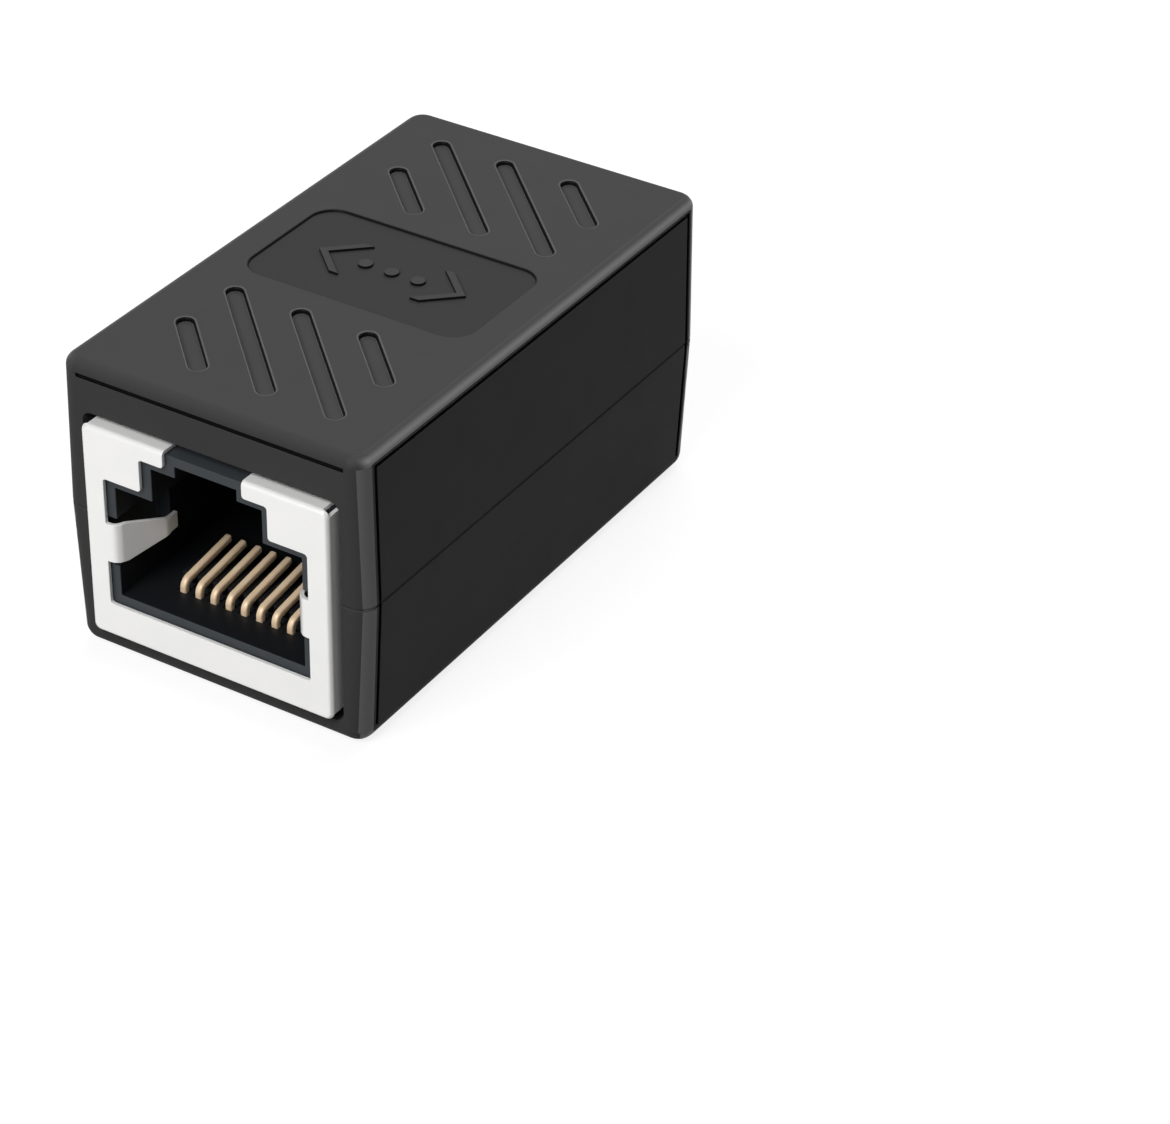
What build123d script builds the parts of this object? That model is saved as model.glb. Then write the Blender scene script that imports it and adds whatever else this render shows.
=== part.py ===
from build123d import *
from itertools import pairwise
import os

# A shielded eight-way inline coupler: two modular sockets, back to back, in a two-part moulded housing.
# The origin is on the ground under the middle of the housing. X runs across it, Y along it and Z up.
# The front socket opens towards -Y with its latch slot up. The rear socket is the same one turned end
# over end about the cross axis, so its latch slot is down and the contacts run straight through.
# All sizes are in millimetres.

# Space for the plug in each socket
plug_width = 12.2
plug_height = 7.0
plug_depth = 12.35
key_width = 7.2
key_height = 2.05
latch_width = 4.0
latch_height = 0.7
catch_depth = 1.5

# Socket moulding
socket_side = 1.6
socket_floor = 2.45
socket_roof = 0.6
stop_wall = 1.4
corner_foot_diameter = 1.4
corner_foot_inset = 1.3
core_wall = 1.0

# Shield, folded from one sheet
sheet = 0.25
sheet_fit = 0.05
shield_recess = 0.3
window_rim = 0.55
window_radius = 0.2
fold_radius = 0.3
shield_corner_radius = 0.45
corner_relief = 0.12
peg_width = 1.4
peg_rise = 2.9
peg_proud = 0.4

# Spring fingers at the sides of the shield window
finger_root = 2.45
finger_tip = 1.0
finger_centre = 3.45
finger_start = 0.15
finger_bend = 0.6
finger_bend_angle = 68.0
finger_length = 2.6
finger_flare = 0.8
finger_flare_angle = 25.0
finger_travel = 0.95
finger_play = 0.3

# Contacts
contact_count = 8
contact_pitch = 1.02
wire_diameter = 0.45
wire_play = 0.06
wire_bend = 0.42
wire_setback = 2.35
wire_rise = 0.5
wire_lean = 4.2
wire_spring = 0.6
comb_entry = 0.75
guide_rise = 0.55
guide_thickness = 0.4
guide_overrun = 0.6

# Contact carrier
carrier_block = 2.0
carrier_side = 0.9
carrier_cover = 0.55
carrier_tongue = 1.3
carrier_fit = 0.05
carrier_nose = 0.75
wire_bury = 0.4
tail_row_pitch = 2.54
tail_setback = 0.85
tail_cover = 0.6
tail_proud = 0.7

# Circuit board between the sockets
board_thickness = 1.2
board_gap = 1.2
board_fit = 0.1
board_corner = 1.0
hole_play = 0.17

# Housing
side_wall = 1.4
roof_wall = 1.4
floor_wall = 1.4
end_wall = 1.2
jack_proud = 0.65
jack_fit = 0.1
mouth_gap = 0.3
mouth_corner = 0.6
side_gap = 0.35
floor_gap = 0.25
roof_gap = 1.85
parting_height = 9.0
side_draft = 0.2
keel_taper = 0.2
rim_radius = 0.65
keel_radius = 1.0
corner_radius = 1.1
parting_step = 0.08
contour_width = 0.26
contour_depth = 0.18
contour_offset = 0.04
tongue_height = 0.8
tongue_thickness = 0.6
tongue_fit = 0.06
rib_thickness = 1.0
rib_inset = 2.6
rib_spacing = 8.6
board_rib = 0.9

# Relief on the two large faces
slot_depth = 0.28
slot_width = 1.0
slot_half_span = 6.2
slot_half_band = 3.7
slot_step = 4.4
slots_per_group = 4
slot_group_offset = 10.25
plate_width = 14.8
plate_length = 8.6
plate_radius = 1.5
plate_depth = 0.18
relief_height = 0.16
relief_taper = 10.0
dot_diameter = 0.85
dot_pitch = 1.75
dot_count = 3
chevron_reach = 1.9
chevron_height = 3.6
chevron_stroke = 0.62
chevron_gap = 1.3

# Sizes that follow from the ones above
shell_step = sheet + sheet_fit
insulator_width = plug_width + 2 * socket_side
insulator_height = socket_floor + plug_height + key_height + latch_height + socket_roof
insulator_length = plug_depth + stop_wall + carrier_block
jack_width = insulator_width + 2 * shell_step
jack_height = insulator_height + 2 * shell_step
shield_length = shield_recess + insulator_length
board_face = board_thickness / 2
jack_back = board_face + board_gap
jack_face = jack_back + shield_length
half_length = jack_face - jack_proud
body_length = 2 * half_length
jack_bottom = floor_wall + floor_gap
jack_top = jack_bottom + jack_height
jack_middle = jack_bottom + jack_height / 2
cavity_top = jack_top + roof_gap
body_height = cavity_top + roof_wall
cavity_width = jack_width + 2 * side_gap
cavity_length = body_length - 2 * end_wall
top_width = cavity_width + 2 * side_wall
parting_width = top_width + 2 * side_draft
bottom_width = top_width - 2 * keel_taper

# Heights and depths inside the front socket
insulator_bottom = jack_bottom + shell_step
plug_floor = insulator_bottom + socket_floor
plug_ceiling = plug_floor + plug_height
key_ceiling = plug_ceiling + key_height
latch_ceiling = key_ceiling + latch_height
insulator_top = insulator_bottom + insulator_height
insulator_face = -jack_face + shield_recess
plug_stop = insulator_face + plug_depth
block_front = plug_stop + stop_wall
insulator_rear = block_front + carrier_block

# Contact run
carrier_top = plug_floor - carrier_cover
carrier_bottom = carrier_top - carrier_tongue
carrier_width = contact_count * contact_pitch + 2 * carrier_side
wire_front = insulator_face + wire_setback
wire_run = carrier_top - wire_bury
wire_crest = plug_floor + wire_rise
wire_tip = wire_front + wire_lean
wire_tip_height = wire_crest + wire_spring
tail_bend = insulator_rear - tail_setback
tail_high = wire_run + tail_row_pitch
tail_end = board_face + tail_proud
block_top = tail_high + tail_cover
groove_width = wire_diameter + 2 * wire_play
guide_places = [(i - contact_count / 2) * contact_pitch for i in range(contact_count + 1)]
groove_floor = wire_run - wire_diameter / 2 - wire_play
carrier_front = wire_front - carrier_nose
contact_places = [(i - (contact_count - 1) / 2) * contact_pitch for i in range(contact_count)]

# Spring finger and its pocket, above the plug floor
finger_height = plug_floor + finger_centre
finger_pocket = finger_root + 2 * finger_play
window_half = plug_width / 2 + window_rim

# Planes and axes
cross_axis = Axis((0, 0, jack_middle), (1, 0, 0))
top_plane = Plane.XY.offset(body_height)
under_plane = Plane(origin=(0, 0, 0), x_dir=(-1, 0, 0), z_dir=(0, 0, -1))


def across(y):
    """Return the upright plane across the body at y, facing the front."""
    return Plane.XZ.offset(-y)


def block(x_range, y_range, z_range, mode=Mode.ADD):
    """Add or cut an upright box given by its limits on each axis."""
    size = [high - low for low, high in (x_range, y_range, z_range)]
    middle = [(high + low) / 2 for low, high in (x_range, y_range, z_range)]
    with Locations(tuple(middle)):
        Box(*size, mode=mode)


def span(half):
    """Return a range of that half width about the middle."""
    return (-half, half)


def keyed_outline(margin, latch_top):
    """Draw the plug space with its two key steps, grown by a margin, on the plane of the front face."""
    steps = (
        (plug_width, plug_floor - margin, plug_ceiling + margin),
        (key_width, plug_floor, key_ceiling + margin),
        (latch_width, plug_floor, latch_top),
    )
    for width, low, high in steps:
        with Locations((0, (low + high) / 2)):
            Rectangle(width + 2 * margin, high - low)


def end_over_end(piece):
    """Return the rear twin of a front socket piece, turned half a turn about the cross axis."""
    with BuildPart() as twin:
        add(piece.part.rotate(cross_axis, 180))
    return twin


def write(piece, label):
    """Label one finished piece and write its file."""
    piece.part.label = label
    export_step(piece.part, f"parts/{label}.step")


# Socket moulding: a block with the stepped plug space, finger pockets, contact comb and carrier bay

def make_insulator():
    """Build the front socket moulding."""
    with BuildPart() as insulator:
        with BuildSketch(across(insulator_face)):
            with Locations((0, (insulator_bottom + insulator_top) / 2)):
                Rectangle(insulator_width, insulator_height)
        extrude(amount=-insulator_length)
        with BuildSketch(across(insulator_face)):
            keyed_outline(0, latch_ceiling)
        extrude(amount=-plug_depth, mode=Mode.SUBTRACT)
        # The catch pocket lets the latch of the plug snap up behind the front rim.
        block(
            span(key_width / 2),
            (insulator_face + catch_depth, plug_stop),
            (key_ceiling, latch_ceiling),
            Mode.SUBTRACT,
        )
        # Pockets behind the spring fingers
        for side in (-1, 1):
            reach = plug_width / 2 + finger_travel
            block(
                sorted((side * plug_width / 4, side * reach)),
                (insulator_face, insulator_face + finger_length + finger_flare + 2 * finger_bend),
                (finger_height - finger_pocket / 2, finger_height + finger_pocket / 2),
                Mode.SUBTRACT,
            )
        # Bay for the contact carrier, open at the back
        bay = carrier_width / 2 + carrier_fit
        block(
            span(bay),
            (carrier_front - carrier_fit, insulator_rear),
            (carrier_bottom - carrier_fit, carrier_top + carrier_fit),
            Mode.SUBTRACT,
        )
        block(
            span(bay),
            (block_front - carrier_fit, insulator_rear),
            (carrier_bottom - carrier_fit, block_top + carrier_fit),
            Mode.SUBTRACT,
        )
        # Core at the back, above the carrier
        block(
            span(plug_width / 2 - core_wall),
            (block_front, insulator_rear),
            (block_top + core_wall, latch_ceiling - core_wall),
            Mode.SUBTRACT,
        )
        # Comb: a slot through the floor at each front bend, and guide ribs on both sides of the free ends
        wire_half = wire_diameter / 2
        for x in contact_places:
            slot = (x - groove_width / 2, x + groove_width / 2)
            block(
                slot,
                (wire_front - wire_half - wire_play, wire_front + comb_entry),
                (carrier_top, plug_floor),
                Mode.SUBTRACT,
            )
        for x in guide_places:
            block(
                (x - guide_thickness / 2, x + guide_thickness / 2),
                (wire_front + comb_entry, wire_tip + guide_overrun),
                (plug_floor, plug_floor + guide_rise),
            )
        # Feet that stand on the board
        foot_x = insulator_width / 2 - corner_foot_inset
        foot_z = insulator_height / 2 - corner_foot_inset
        with BuildSketch(across(insulator_rear)):
            with Locations((0, (insulator_bottom + insulator_top) / 2)):
                with GridLocations(2 * foot_x, 2 * foot_z, 2, 2):
                    Circle(corner_foot_diameter / 2)
        extrude(amount=-(board_gap - carrier_fit))
    return insulator


# Contact carrier: a tongue under the plug floor and a block at the back, grooved for the wires

def make_carrier():
    """Build the front contact carrier."""
    with BuildPart() as carrier:
        block(span(carrier_width / 2), (carrier_front, insulator_rear), (carrier_bottom, carrier_top))
        block(
            span(carrier_width / 2),
            (block_front, insulator_rear),
            (carrier_bottom, block_top),
        )
        wire_half = wire_diameter / 2 + wire_play
        for number, x in enumerate(contact_places, 1):
            slot = (x - groove_width / 2, x + groove_width / 2)
            block(slot, (carrier_front, block_front), (groove_floor, carrier_top), Mode.SUBTRACT)
            block(slot, (block_front, insulator_rear), (groove_floor, wire_run + wire_half), Mode.SUBTRACT)
            if number % 2 == 0:
                block(
                    slot,
                    (tail_bend - wire_half, insulator_rear),
                    (groove_floor, tail_high + wire_half),
                    Mode.SUBTRACT,
                )
    return carrier


# Contacts: spring wires that rise at the mouth, lean back over the floor and end in the board

def make_contact(number, x):
    """Build one front contact; every second tail is raised to the upper row of board holes."""
    points = [
        (wire_tip, wire_tip_height),
        (wire_front, wire_crest),
        (wire_front, wire_run),
    ]
    if number % 2 == 0:
        points += [(tail_bend, wire_run), (tail_bend, tail_high), (tail_end, tail_high)]
    else:
        points += [(tail_end, wire_run)]
    with BuildPart() as contact:
        with BuildLine(Plane.YZ.offset(x)) as route:
            FilletPolyline(*points, radius=wire_bend)
        with BuildSketch(Plane(origin=route.line @ 0, z_dir=route.line % 0)):
            Circle(wire_diameter / 2)
        sweep(path=route.line)
    return contact


# Spring finger: a tapered strip of the shield that turns in from the window edge and leans back

def make_finger():
    """Build the spring finger at the +X side of the window."""
    root_y = -jack_face + sheet / 2
    with BuildPart() as finger:
        with BuildSketch(Plane.XY.offset(finger_height)):
            with BuildLine():
                root = Line((window_half + sheet, root_y), (window_half - finger_start, root_y))
                turn = JernArc(root @ 1, root % 1, finger_bend, -finger_bend_angle)
                lean = Line(turn @ 1, turn @ 1 + (turn % 1) * finger_length)
                ease = JernArc(lean @ 1, lean % 1, finger_bend, -finger_flare_angle)
                Line(ease @ 1, ease @ 1 + (ease % 1) * finger_flare)
            trace(line_width=sheet)
        extrude(amount=finger_root, both=True)
        tip_y = root_y + finger_bend + finger_length
        end_y = tip_y + finger_bend + finger_flare
        with BuildSketch(Plane.YZ):
            with BuildLine():
                Polyline(
                    (root_y - sheet, finger_height + finger_root / 2),
                    (root_y + finger_bend, finger_height + finger_root / 2),
                    (tip_y, finger_height + finger_tip / 2),
                    (end_y, finger_height + finger_tip / 2),
                    (end_y, finger_height - finger_tip / 2),
                    (tip_y, finger_height - finger_tip / 2),
                    (root_y + finger_bend, finger_height - finger_root / 2),
                    (root_y - sheet, finger_height - finger_root / 2),
                    close=True,
                )
            make_face()
        extrude(amount=jack_width, mode=Mode.INTERSECT)
    return finger


# Shield: one sheet with a keyed window, four flaps folded back, two pegs and two spring fingers

def make_shield():
    """Build the front shield."""
    with BuildPart() as shield:
        with BuildSketch(across(-jack_face)):
            with Locations((0, jack_middle)):
                RectangleRounded(jack_width, jack_height, shield_corner_radius)
        extrude(amount=-shield_length)
        fillet(shield.edges().group_by(Axis.Y)[0], fold_radius)
        block(
            span(jack_width / 2 - sheet),
            (-jack_face + sheet, -jack_back),
            (jack_bottom + sheet, jack_top - sheet),
            Mode.SUBTRACT,
        )
        with BuildSketch(across(-jack_face)) as window:
            keyed_outline(window_rim, jack_top)
            rounded = window.vertices().filter_by_position(Axis.Y, 0, key_ceiling + 2 * window_rim)
            fillet(rounded, window_radius)
        extrude(amount=-sheet, mode=Mode.SUBTRACT)
        # The latch slot is cut on through the front of the top flap.
        block(
            span(latch_width / 2 + window_rim),
            (-jack_face, -jack_face + shield_recess + catch_depth),
            (jack_top - sheet, jack_top),
            Mode.SUBTRACT,
        )
        # Corner reliefs part the four flaps behind the front face.
        relief = sheet + corner_relief
        for side in (-1, 1):
            edge = side * jack_width / 2
            for low in (jack_bottom, jack_top - relief):
                block(
                    sorted((edge - side * relief, edge)),
                    (-jack_face + sheet, -jack_back),
                    (low, low + relief),
                    Mode.SUBTRACT,
                )
            block(
                sorted((edge - side * sheet, edge)),
                (-jack_back, board_face + peg_proud),
                (jack_middle + peg_rise - peg_width / 2, jack_middle + peg_rise + peg_width / 2),
            )
        finger = make_finger()
        add(finger.part)
        add(mirror(finger.part, about=Plane.YZ, mode=Mode.PRIVATE))
    return shield


# Circuit board: carries the tails of both sockets and grips the pegs of both shields at its edges

def make_board():
    """Build the board that stands between the sockets."""
    board_width = cavity_width - 2 * board_fit
    board_low = floor_wall + board_fit
    board_high = cavity_top - board_fit
    with BuildPart() as board:
        with BuildSketch(across(-board_face)):
            with Locations((0, (board_low + board_high) / 2)):
                Rectangle(board_width, board_high - board_low)
        extrude(amount=-board_thickness)
        chamfer(board.edges().filter_by(Axis.Y), board_corner)
        hole = wire_diameter / 2 + hole_play
        with BuildSketch(across(-board_face)):
            for number, x in enumerate(contact_places, 1):
                row = tail_high if number % 2 == 0 else wire_run
                with Locations((x, row), (x, 2 * jack_middle - row)):
                    Circle(hole)
        extrude(amount=-board_thickness, mode=Mode.SUBTRACT)
        notch_half = peg_width / 2 + board_fit
        for side in (-1, 1):
            for rise in (peg_rise, -peg_rise):
                block(
                    sorted((side * (jack_width / 2 - sheet - board_fit), side * cavity_width / 2)),
                    span(board_face),
                    (jack_middle + rise - notch_half, jack_middle + rise + notch_half),
                    Mode.SUBTRACT,
                )
    return board


# Housing: an outer form with drafted sides, split at the parting height into two shells

def slot_group():
    """Draw one group of slanted slots, clipped to a band, about the current location."""
    for index in range(slots_per_group):
        total = (index - (slots_per_group - 1) / 2) * slot_step
        low = max(-slot_half_band, total - slot_half_span)
        high = min(slot_half_band, total + slot_half_span)
        middle = (low + high) / 2
        with Locations((total - middle, middle)):
            SlotCenterToCenter((high - low) * 2**0.5, slot_width, rotation=135)


def relief_mark():
    """Draw the plain link sign: three dots between two open arrowheads."""
    with GridLocations(dot_pitch, 0, dot_count, 1):
        Circle(dot_diameter / 2)
    tip = dot_count * dot_pitch / 2 + chevron_gap + chevron_reach / 2
    half = chevron_height / 2
    for side in (-1, 1):
        foot = side * (tip - chevron_reach)
        point = side * tip
        Polygon(
            (foot, half),
            (point, 0),
            (foot, -half),
            (foot - side * chevron_stroke, -half),
            (point - side * chevron_stroke, 0),
            (foot - side * chevron_stroke, half),
            align=None,
        )


def body_levels():
    """Return the width of the housing at its bottom, its parting line and its top, each with its height."""
    return ((bottom_width, 0), (parting_width, parting_height), (top_width, body_height))


def body_section(inset, mode=Mode.ADD):
    """Draw the cross-section of the housing, with its sides moved in by an inset."""
    right = [(width / 2 - inset, height) for width, height in body_levels()]
    left = [(-x, height) for x, height in reversed(right)]
    Polygon(*right, *left, align=None, mode=mode)


def make_contour():
    """Build the cutter for the fine witness grooves that set off the side panels and the end faces."""
    line_top = body_height - rim_radius - contour_offset
    panel_end = half_length - corner_radius - contour_offset
    with BuildPart() as lines:
        block(span(parting_width), span(panel_end), (line_top - contour_width, line_top))
        for side in (-1, 1):
            block(
                span(parting_width),
                sorted((side * panel_end, side * (panel_end - contour_width))),
                (keel_radius, line_top),
            )
    with BuildPart() as contour:
        # A skin that follows the draft of the side walls, kept only along the lines
        with BuildSketch(across(-panel_end)):
            Rectangle(2 * parting_width, 2 * body_height + keel_radius)
            body_section(contour_depth, Mode.SUBTRACT)
        extrude(amount=-2 * panel_end)
        add(lines.part, mode=Mode.INTERSECT)
        for side in (-1, 1):
            block(
                span(top_width / 2 - corner_radius - contour_offset),
                sorted((side * (half_length - contour_depth), side * (half_length + contour_depth))),
                (line_top - contour_width, line_top),
            )
    return contour


def make_outer_form():
    """Build the solid outer form of the housing with its relief on both large faces."""
    with BuildPart() as form:
        # Each half is ruled between two rounded outlines, so that the parting line lies in one plane.
        for half in pairwise(body_levels()):
            for width, height in half:
                with BuildSketch(Plane.XY.offset(height)):
                    RectangleRounded(width, body_length, corner_radius)
            loft(ruled=True)
        keel = form.faces().sort_by(Axis.Z)[0].edges()
        fillet(keel, keel_radius)
        rim = form.faces().sort_by(Axis.Z)[-1].edges()
        fillet(rim, rim_radius)
        for plane in (top_plane, under_plane):
            with BuildSketch(plane):
                with Locations((0, -slot_group_offset), (0, slot_group_offset)):
                    slot_group()
            extrude(amount=-slot_depth, taper=relief_taper, mode=Mode.SUBTRACT)
            with BuildSketch(plane):
                RectangleRounded(plate_width, plate_length, plate_radius)
            extrude(amount=-plate_depth, taper=relief_taper, mode=Mode.SUBTRACT)
            with BuildSketch(plane.offset(-plate_depth)):
                relief_mark()
            extrude(amount=relief_height)
        contour = make_contour()
        add(contour.part, mode=Mode.SUBTRACT)
    return form


def rib_places():
    """Return the middle of each cradle rib along the housing."""
    first = half_length - end_wall - rib_inset
    return [sign * (first - step) for sign in (-1, 1) for step in (0, rib_spacing)]


def make_shell(form, upper):
    """Build the upper or the lower shell from the outer form."""
    low, high = (parting_height, body_height) if upper else (0, parting_height)
    cavity_low, cavity_high = (parting_height, cavity_top) if upper else (floor_wall, parting_height)
    jack_slot = (jack_bottom - jack_fit, jack_top + jack_fit)
    with BuildPart() as shell:
        add(form.part)
        block(span(parting_width), span(body_length), (low, high), Mode.INTERSECT)
        # A fine step round the parting edge makes the line between the shells.
        with BuildSketch(Plane.XY.offset(parting_height)):
            Rectangle(2 * parting_width, 2 * body_length)
            RectangleRounded(
                parting_width - 2 * parting_step,
                body_length - 2 * parting_step,
                corner_radius - parting_step,
                mode=Mode.SUBTRACT,
            )
        extrude(amount=parting_step if upper else -parting_step, mode=Mode.SUBTRACT)
        block(span(cavity_width / 2), span(cavity_length / 2), (cavity_low, cavity_high), Mode.SUBTRACT)
        # Cradle ribs close in on the two sockets.
        for y in rib_places():
            block(
                span(cavity_width / 2),
                (y - rib_thickness / 2, y + rib_thickness / 2),
                (cavity_low, cavity_high),
            )
        if upper:
            # Two roof ribs make a slot for the board.
            for side in (-1, 1):
                inner = side * (board_face + board_fit)
                block(
                    span(cavity_width / 2 - board_rib),
                    sorted((inner, inner + side * board_rib)),
                    (jack_top + jack_fit, cavity_high),
                )
        block(span(jack_width / 2 + jack_fit), span(half_length), jack_slot, Mode.SUBTRACT)
        # The mouths in the end walls stand clear of the shields all round.
        for outside in (-half_length, half_length - end_wall):
            with BuildSketch(across(outside)):
                with Locations((0, jack_middle)):
                    RectangleRounded(
                        jack_width + 2 * mouth_gap,
                        jack_height + 2 * mouth_gap,
                        mouth_corner,
                    )
            extrude(amount=-end_wall, mode=Mode.SUBTRACT)
        # A tongue on the lower shell stands in a rabbet of the upper one, along both sides.
        play = tongue_fit if upper else 0
        for side in (-1, 1):
            inner = side * cavity_width / 2
            outer = inner + side * (tongue_thickness + play)
            block(
                sorted((inner, outer)),
                span(cavity_length / 2 + play),
                (parting_height, parting_height + tongue_height + play),
                Mode.SUBTRACT if upper else Mode.ADD,
            )
    return shell


os.makedirs("parts", exist_ok=True)

outer_form = make_outer_form()
upper_shell = make_shell(outer_form, True)
lower_shell = make_shell(outer_form, False)
write(upper_shell, "upper_shell")
write(lower_shell, "lower_shell")

circuit_board = make_board()
write(circuit_board, "circuit_board")

front_pieces = {
    "shield": make_shield(),
    "socket_body": make_insulator(),
    "contact_carrier": make_carrier(),
}
for number, place in enumerate(contact_places, 1):
    front_pieces[f"contact_{number}"] = make_contact(number, place)

for name, piece in front_pieces.items():
    write(piece, f"front_{name}")
    write(end_over_end(piece), f"rear_{name}")
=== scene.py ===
"""Looks of a shielded inline network coupler: two modular sockets back to back in a black housing.

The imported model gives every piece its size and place. This script dresses the pieces, rounds their moulded
and stamped edges, makes the contact wires, the solder joints and the board's tracks, and sets a plain studio
round the coupler.
"""
import logging
import math
from dataclasses import dataclass, field
from enum import Enum

import bmesh
import bpy
from mathutils import Matrix, Vector


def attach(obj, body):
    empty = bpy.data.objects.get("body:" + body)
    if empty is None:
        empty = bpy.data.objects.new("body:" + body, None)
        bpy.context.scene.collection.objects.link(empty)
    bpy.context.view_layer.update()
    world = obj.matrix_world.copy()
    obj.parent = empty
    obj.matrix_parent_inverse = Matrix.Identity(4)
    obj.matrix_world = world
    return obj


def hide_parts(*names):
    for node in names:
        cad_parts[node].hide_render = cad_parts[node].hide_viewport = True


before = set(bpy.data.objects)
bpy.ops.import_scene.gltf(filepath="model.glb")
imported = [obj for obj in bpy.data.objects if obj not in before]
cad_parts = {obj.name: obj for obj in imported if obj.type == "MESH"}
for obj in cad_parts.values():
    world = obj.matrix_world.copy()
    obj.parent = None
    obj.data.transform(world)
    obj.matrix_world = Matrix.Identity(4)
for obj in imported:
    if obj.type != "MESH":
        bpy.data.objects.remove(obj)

Triple = tuple[float, float, float]
Pair = tuple[float, float]

LOG = logging.getLogger("coupler")
MM = 0.001
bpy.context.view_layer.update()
# Noise seldom leaves this middle range, so it is stretched from it where it has to reach both ends.
NOISE_LOW, NOISE_HIGH = 0.3, 0.7
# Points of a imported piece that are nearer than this, in millimetres, are one point.
WELD = 0.0005
# Faces that turn by less than this lie in one flat region.
FLAT_TURN = math.radians(0.5)
# Edges of a piece made by a tree that turn by more than this stay sharp.
SHARP_TURN = math.radians(35)


class End(Enum):
    """The two ends of the coupler, by the first word of their nodes' names."""

    FRONT = "front"
    REAR = "rear"

    @property
    def outward(self) -> float:
        """Sign of the direction in which a plug leaves this end."""
        return -1.0 if self is End.FRONT else 1.0


def linear(code: str) -> tuple[float, float, float, float]:
    """Turn an sRGB hex colour into the linear colour that Blender's sockets take.

    Args:
        code: Six hex digits after a hash.

    Returns:
        Linear red, green and blue, and full opacity.
    """
    digits = code.lstrip("#")
    values = [int(digits[i:i + 2], 16) / 255 for i in (0, 2, 4)]
    return tuple(v / 12.92 if v <= 0.04045 else ((v + 0.055) / 1.055) ** 2.4 for v in values) + (1.0,)


def add_node(tree: bpy.types.NodeTree, kind: str, values: dict | None = None,
             links: dict | None = None, **settings: object) -> bpy.types.Node:
    """Add one node to a tree, set its properties and sockets, and link its inputs.

    Args:
        tree: Shader or geometry tree that gets the node.
        kind: Type name of the node.
        values: Input socket (name or index) to the value that it holds.
        links: Input socket (name or index) to the output socket that feeds it.
        **settings: Properties of the node itself.

    Returns:
        The new node.
    """
    made = tree.nodes.new(kind)
    for key, value in settings.items():
        setattr(made, key, value)
    for key, value in (values or {}).items():
        made.inputs[key].default_value = value
    for key, source in (links or {}).items():
        tree.links.new(source, made.inputs[key])
    return made


def blank_material(name: str) -> tuple[bpy.types.Material, bpy.types.NodeTree]:
    """Make an empty node material.

    Args:
        name: Name of the material.

    Returns:
        The material and its tree.
    """
    material = bpy.data.materials.new(name)
    material.use_nodes = True
    material.node_tree.nodes.clear()
    return material, material.node_tree


def object_pattern(tree: bpy.types.NodeTree, stretch: Triple = (1, 1, 1)) -> bpy.types.NodeSocket:
    """Give the Object coordinates in metres, stretched along each axis by a factor.

    Args:
        tree: Shader tree that gets the nodes.
        stretch: Scale of the pattern space along X, Y and Z.

    Returns:
        The vector output that patterns read.
    """
    place = add_node(tree, "ShaderNodeTexCoord")
    mapping = add_node(tree, "ShaderNodeMapping", {"Scale": stretch}, {"Vector": place.outputs["Object"]})
    return mapping.outputs["Vector"]


def blend(tree: bpy.types.NodeTree, share: bpy.types.NodeSocket, first: str,
          second: str) -> bpy.types.NodeSocket:
    """Mix two colours by a pattern.

    Args:
        tree: Shader tree that gets the node.
        share: Pattern that gives the share of the second colour.
        first: Hex colour where the pattern is 0.
        second: Hex colour where the pattern is 1.

    Returns:
        The mixed colour.
    """
    # The colour sockets of a Mix node share their names with others, so they are set by index.
    mixed = add_node(tree, "ShaderNodeMix", {6: linear(first), 7: linear(second)}, {0: share},
                     data_type="RGBA")
    return mixed.outputs[2]


@dataclass(frozen=True)
class MouldedPlastic:
    """Injection-moulded thermoplastic with the fine grain of a spark-eroded tool.

    The eye gets a satin face that is never quite even: a soft mottle in the shine, a fine pebble that breaks
    up reflections, and a broad drift in tone where the melt cooled at different rates.
    """

    name: str
    colour: str
    drift: str
    roughness: float
    ior: float
    specular: float
    grain_mm: float
    grain_depth_mm: float
    mottle_mm: float
    drift_mm: float = 9.0
    uneven_shine: float = 0.02
    grain_strength: float = 0.55

    def tone(self, tree: bpy.types.NodeTree, space: bpy.types.NodeSocket) -> bpy.types.NodeSocket:
        """Give the colour: two near tones that drift into each other."""
        drift = add_node(tree, "ShaderNodeTexNoise", {"Scale": 1 / (self.drift_mm * MM), "Detail": 3.0,
                                                      "Roughness": 0.55}, {"Vector": space})
        return blend(tree, drift.outputs["Fac"], self.colour, self.drift)

    def build(self) -> bpy.types.Material:
        """Make the material.

        Returns:
            The material.
        """
        material, tree = blank_material(self.name)
        space = object_pattern(tree)
        mottle = add_node(tree, "ShaderNodeTexNoise", {"Scale": 1 / (self.mottle_mm * MM), "Detail": 4.0},
                          {"Vector": space})
        shine = add_node(tree, "ShaderNodeMapRange", {"From Min": NOISE_LOW, "From Max": NOISE_HIGH,
                                                      "To Min": self.roughness - self.uneven_shine,
                                                      "To Max": self.roughness + self.uneven_shine},
                         {"Value": mottle.outputs["Fac"]})
        pebble = add_node(tree, "ShaderNodeTexNoise", {"Scale": 1 / (self.grain_mm * MM), "Detail": 2.0,
                                                       "Roughness": 0.6}, {"Vector": space})
        bump = add_node(tree, "ShaderNodeBump",
                        {"Strength": self.grain_strength, "Distance": self.grain_depth_mm * MM},
                        {"Height": pebble.outputs["Fac"]})
        shader = add_node(tree, "ShaderNodeBsdfPrincipled",
                          {"IOR": self.ior, "Specular IOR Level": self.specular},
                          {"Base Color": self.tone(tree, space), "Roughness": shine.outputs["Result"],
                           "Normal": bump.outputs["Normal"]})
        add_node(tree, "ShaderNodeOutputMaterial", links={"Surface": shader.outputs["BSDF"]})
        return material


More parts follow.
